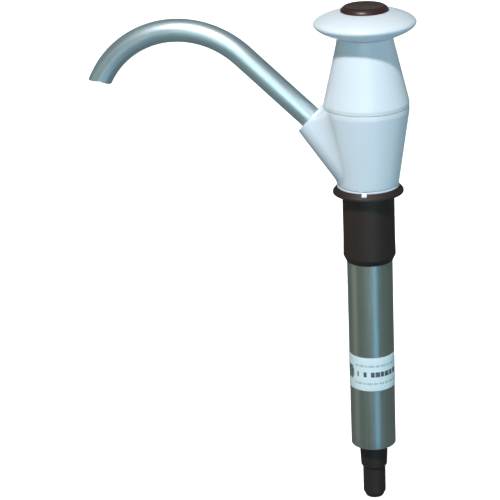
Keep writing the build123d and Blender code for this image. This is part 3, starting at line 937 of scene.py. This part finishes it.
@dataclass
class Barrel:
    """Anodised barrel with its label and the stepped hose tail in its foot."""

    bore_r: float = 14.3
    edge: float = 0.35
    tail_r: float = 10.3
    tail_end_r: float = 9.35
    tail_length: float = 19.8
    step: float = 2.0
    small_r: float = 8.05
    chamfer: float = 3.8
    nose_r: float = 6.3
    water_r: float = 5.2
    cone: float = 4.0  # seat of the foot valve, at 45 degrees

    def tube(self) -> None:
        """Plain tube with softened ends."""
        reach = Reach.of("barrel_tube")
        outline = [(self.bore_r, reach.low, self.edge), (reach.r, reach.low, self.edge),
                   (reach.r, reach.high, self.edge), (self.bore_r, reach.high, self.edge)]
        make_piece("barrel_shell", [lathe(outline, 8.0)], BARREL, Body.BARREL, ["barrel_tube"])

    @staticmethod
    def bars() -> tuple[Bar, ...]:
        """Plain bars in three rows, and two that cross to make a spot at their left.

        Returns:
            The bars. A row is (left edge, width) pairs in degrees, moved round by a shift.
        """
        thin = ((-124, 9), (-113, 13), (-97, 6), (-88, 15), (-70, 10), (-57, 14), (-40, 9), (-28, 13),
                (-12, 8))
        bold = ((-119, 4), (-101, 8), (-82, 9), (-71, 12), (-57, 9), (-46, 13), (-31, 10), (-18, 14))
        rows = ((thin, 0, 0.72, 0.78, 0.4), (bold, 0, 0.42, 0.57, 1.0), (thin, -5, 0.19, 0.25, 0.4))
        spot = (Bar(-164, -131, 0.38, 0.62, 0.9), Bar(-160, -135, 0.30, 0.70, 0.9))
        return tuple(Bar(left + shift, left + shift + wide, low, high, ink)
                     for row, shift, low, high, ink in rows for left, wide in row) + spot

    def label(self) -> None:
        """Film wrapped round the barrel and printed with plain bars."""
        reach, barrel = Reach.of("barrel_label"), Reach.of("barrel_tube")
        film = PrintedFilm("printed_film", Slot.LABEL, (0.80, 0.90, 0.94), low=reach.low * METRES,
                           high=reach.high * METRES, bars=self.bars())
        outline = [(barrel.r, reach.low, 0.02), (reach.r, reach.low, 0.06), (reach.r, reach.high, 0.06),
                   (barrel.r, reach.high, 0.02)]
        make_piece("label", [lathe(outline, 4.0)], film, Body.BARREL, ["barrel_label"])

    def tail(self) -> None:
        """Stepped hose tail on its plug, with softened steps and the valve's seat inside."""
        reach, snap = Reach.of("tail_adaptor"), Reach.of("tail_snap_ring")
        shoulder = snap.high
        big_end = shoulder - self.tail_length
        small_top = big_end - self.step
        seat = reach.high - self.cone
        outline = [
            (self.bore_r, reach.high, 0.2), (self.bore_r, shoulder, 0.2), (self.tail_r, shoulder, 0.6),
            (self.tail_end_r, big_end, 0.5), (self.small_r, small_top, 0.6),
            (self.small_r, reach.low + self.chamfer, 1.0), (self.nose_r, reach.low, 0.4),
            (self.water_r, reach.low, 0.2), (self.water_r, seat, 0.2),
            (self.water_r + self.cone, reach.high, 0.2)]
        make_piece("tail", [lathe(outline, 3.0)], BLACK, Body.BARREL, ["tail_adaptor"])

    def build(self) -> None:
        """Makes the barrel's pieces and dresses the ones that stay."""
        self.tube()
        self.label()
        self.tail()
        dress(RUBBER, "tail_o_ring", "foot_valve_ball")
        dress(STEEL, "tail_snap_ring")
        dress(BLACK, "foot_valve_cage")


# ---- plunger ----


@dataclass
class Plunger:
    """Knob with its cap, and the rod and piston under it."""

    foot_r: float = 19.1
    foot_slope: float = 0.3
    foot_pull: float = 19.0
    widest_z: float = 118.1
    land_r: float = 17.2
    top_slope: float = 0.16
    top_pull: float = 22.0
    rim_pull: float = 10.0
    rod_r: float = 6.0
    pocket_r: float = 9.6
    pocket_depth: float = 9.0
    pocket_edge: float = 0.3
    shoulder: float = 4.0
    stud_r: float = 4.0
    cap_flat_r: float = 13.3
    cap_edge: float = 0.7
    cap_bulge: float = 0.45
    cap_spigot: float = 4.0
    cap_spigot_wall: float = 1.2
    cap_hollow: float = 1.2  # height inside the spigot above the knob
    cap_foot: float = 0.25
    cap_dish: float = 0.35

    def knob(self) -> None:
        """Lens-shaped knob: two cubic curves meet upright at its widest circle."""
        reach = Reach.of("knob")
        foot, wide, land = (self.foot_r, reach.low), (reach.r, self.widest_z), (self.land_r, reach.high)
        upright = (0.0, self.rim_pull)
        under = hermite(foot, wide, (self.foot_pull, self.foot_pull * self.foot_slope), upright, 40)
        over = hermite(wide, land, upright, (-self.top_pull, self.top_pull * self.top_slope), 48)[1:]
        floor, edge = reach.high - self.pocket_depth, self.pocket_edge
        hollow = np.array([
            (self.pocket_r + edge, reach.high), (self.pocket_r, reach.high - edge), (self.pocket_r, floor),
            (self.stud_r, floor), (self.stud_r, floor - self.shoulder), (self.rod_r, floor - self.shoulder),
            (self.rod_r, reach.low), foot])
        outline = resampled(np.vstack([under, over, hollow]), 3.0)
        make_piece("pull_knob", [turned(outline, 168)], HEAD_WHITE, Body.PLUNGER, ["knob"])

    def cap(self) -> None:
        """Round cap: an upright edge, a bulging bevel, a dished face and a spigot below."""
        reach, knob = Reach.of("knob_cap"), Reach.of("knob")
        edge_z = knob.high + self.cap_edge
        t = np.linspace(0, 1, 12)[:, None]
        chord = np.array([[reach.r, edge_z]]) * (1 - t) + np.array([[self.cap_flat_r, reach.high]]) * t
        away = np.array([reach.high - edge_z, reach.r - self.cap_flat_r])
        bevel = chord + away / np.linalg.norm(away) * self.cap_bulge * 4 * t * (1 - t)
        face_r = np.linspace(self.cap_flat_r, 0, 14)[1:]
        dish = reach.high - self.cap_dish * (1 - (face_r / self.cap_flat_r) ** 2) ** 2
        inner_r, end_z = self.pocket_r - self.cap_spigot_wall, knob.high - self.cap_spigot
        under = [(0.0, knob.high + self.cap_hollow), (inner_r, knob.high + self.cap_hollow), (inner_r, end_z),
                 (self.pocket_r, end_z), (self.pocket_r, knob.high), (reach.r - self.cap_foot, knob.high),
                 (reach.r, knob.high + self.cap_foot), (reach.r, edge_z)]
        outline = np.vstack([bevel, np.stack([face_r, dish], -1), under])
        make_piece("cap", [turned(outline)], BROWN, Body.PLUNGER, ["knob_cap"])

    def build(self) -> None:
        """Makes the knob and its cap and dresses the rest."""
        self.knob()
        self.cap()
        dress(STEEL, "piston_rod", "knob_nut", "knob_washer", "piston_nut")
        dress(NYLON, "piston_guide", "valve_plate")
        dress(RUBBER, "piston_ring", "top_buffer")


# ---- studio ----


@dataclass(frozen=True)
class Lamp:
    """Rectangular soft light that faces the pump."""

    name: str
    azimuth: float  # degrees round the pump
    elevation: float  # degrees above the horizon
    distance: float  # metres
    size: tuple[float, float]  # width and height in metres
    watts: float
    colour: Colour
    glossy: bool = True  # whether shiny surfaces mirror it

    def place(self, aim: Triple) -> None:
        """Adds the light to the scene.

        Args:
            aim: the point that it faces, in metres.
        """
        lamp = bpy.data.lights.new(self.name, "AREA")
        lamp.shape = "RECTANGLE"
        lamp.size, lamp.size_y = self.size
        lamp.energy = self.watts
        lamp.color = self.colour
        holder = link(self.name, lamp)
        holder.visible_camera = False
        holder.visible_glossy = self.glossy
        back = outward(self.azimuth, self.elevation)
        holder.location = Vector(aim) + back * self.distance
        holder.rotation_mode = "QUATERNION"
        holder.rotation_quaternion = (-back).to_track_quat("-Z", "Y")


def outward(azimuth: float, elevation: float) -> Vector:
    """Direction from the pump towards a light or the camera; azimuth 0 stands on -Y."""
    a, e = radians(azimuth), radians(elevation)
    return Vector((sin(a) * cos(e), -cos(a) * cos(e), sin(e)))


# A small key from above, a wide cool front, low strips for the barrel and dull fills for the other sides.
LAMPS = (
    Lamp("key", -5.0, 54.0, 1.6, (0.1, 0.1), 22.5, (1.0, 0.985, 0.97)),
    Lamp("front", 12.0, 4.0, 2.0, (1.3, 0.9), 10.5, (0.72, 0.99, 1.0)),
    Lamp("strip", 35.0, -17.0, 1.7, (0.46, 1.3), 4.2, (0.22, 0.60, 1.0)),
    Lamp("side", -76.0, -12.0, 1.7, (0.8, 1.2), 1.3, (1.0, 1.0, 0.80)),
    Lamp("rear_strip", 195.0, -14.0, 1.7, (0.4, 1.3), 2.5, (0.9, 1.0, 0.95)),
    Lamp("right_fill", 112.0, 5.0, 2.2, (1.4, 1.4), 9.0, (0.78, 1.0, 0.98), glossy=False),
    Lamp("back_fill", 215.0, 12.0, 2.2, (1.4, 1.4), 12.0, (0.90, 1.0, 0.98), glossy=False))


@dataclass
class Studio:
    """Pale floor and backdrop, soft lights and the camera."""

    floor_gap: float = 4.0  # below the hose tail
    floor_r: float = 3400.0
    cove_r: float = 1000.0  # quarter circle between the floor and the wall
    wall_height: float = 4500.0
    azimuth: float = 15.0
    elevation: float = 20.0
    roll: float = 2.55
    distance: float = 1303.4
    aim: Triple = (-76.8, -33.5, -34.5)
    lens: float = 136.8
    lit: Triple = (-0.04, 0.0, 0.0)  # the point that the lights face, m
    paper_dark: Colour = (0.93, 0.93, 0.92)
    paper_light: Colour = (0.95, 0.95, 0.94)
    paper_glow: float = 0.95
    room_colour: Colour = (0.74, 0.98, 1.0)
    room_strength: float = 0.18

    def backdrop(self) -> None:
        """Floor and round wall, joined by a quarter circle and turned about the pump's axis."""
        low = CAD_LOW.z / METRES - self.floor_gap
        q = np.linspace(0, pi / 2, 24)
        r = np.concatenate([[0.0], self.floor_r + self.cove_r * np.sin(q), [self.floor_r + self.cove_r]])
        z = low + np.concatenate([[0.0], self.cove_r * (1 - np.cos(q)), [self.wall_height]])
        grid = turned(np.stack([r, z], -1)) * METRES
        mesh = bpy.data.meshes.new("backdrop")
        mesh.from_pydata(grid.reshape(-1, 3), [], grid_quads(*grid.shape[:2]).tolist())
        mesh.polygons.foreach_set("use_smooth", np.ones(len(mesh.polygons), bool))
        sheet = link("backdrop", mesh)
        sheet.visible_glossy = False
        sheet.visible_diffuse = False
        sheet.visible_shadow = False
        tree = Tree("pale_paper")
        tint = tree.mixed(tree.noise(tree.place, 6.0), shade(self.paper_dark), shade(self.paper_light))
        tree.fill(tree.shader, {"Base Color": tint, "Roughness": 0.9, "Emission Color": (1.0, 1.0, 1.0, 1.0),
                                "Emission Strength": self.paper_glow})
        mesh.materials.append(tree.material)

    def room(self) -> None:
        """Adds the lights and the room's even light."""
        for lamp in LAMPS:
            lamp.place(self.lit)
        world = bpy.data.worlds.new("room")
        world.use_nodes = True
        background = world.node_tree.nodes["Background"]
        background.inputs["Color"].default_value = shade(self.room_colour)
        background.inputs["Strength"].default_value = self.room_strength
        bpy.context.scene.world = world

    def camera(self) -> None:
        """Long lens, turned a little about its own line of sight."""
        data = bpy.data.cameras.new("camera")
        data.lens = self.lens
        data.clip_end = 50.0
        holder = link("camera", data)
        back = outward(self.azimuth, self.elevation)
        turn = (-back).to_track_quat("-Z", "Y").to_matrix()
        roll = Matrix.Rotation(-radians(self.roll), 3, "Z")
        holder.rotation_mode = "QUATERNION"
        holder.rotation_quaternion = (turn @ roll).to_quaternion()
        holder.location = (Vector(self.aim) + back * self.distance) * METRES
        bpy.context.scene.camera = holder

    def build(self) -> None:
        """Sets up the backdrop, the lights and the camera."""
        self.backdrop()
        self.room()
        self.camera()
        bpy.context.scene.view_settings.view_transform = "Standard"


def main() -> None:
    """Builds the pump and the studio."""
    Studio().build()
    for part in (DeckMount(), Barrel(), Head(), Plunger()):
        part.build()


if __name__ == "__main__":
    main()
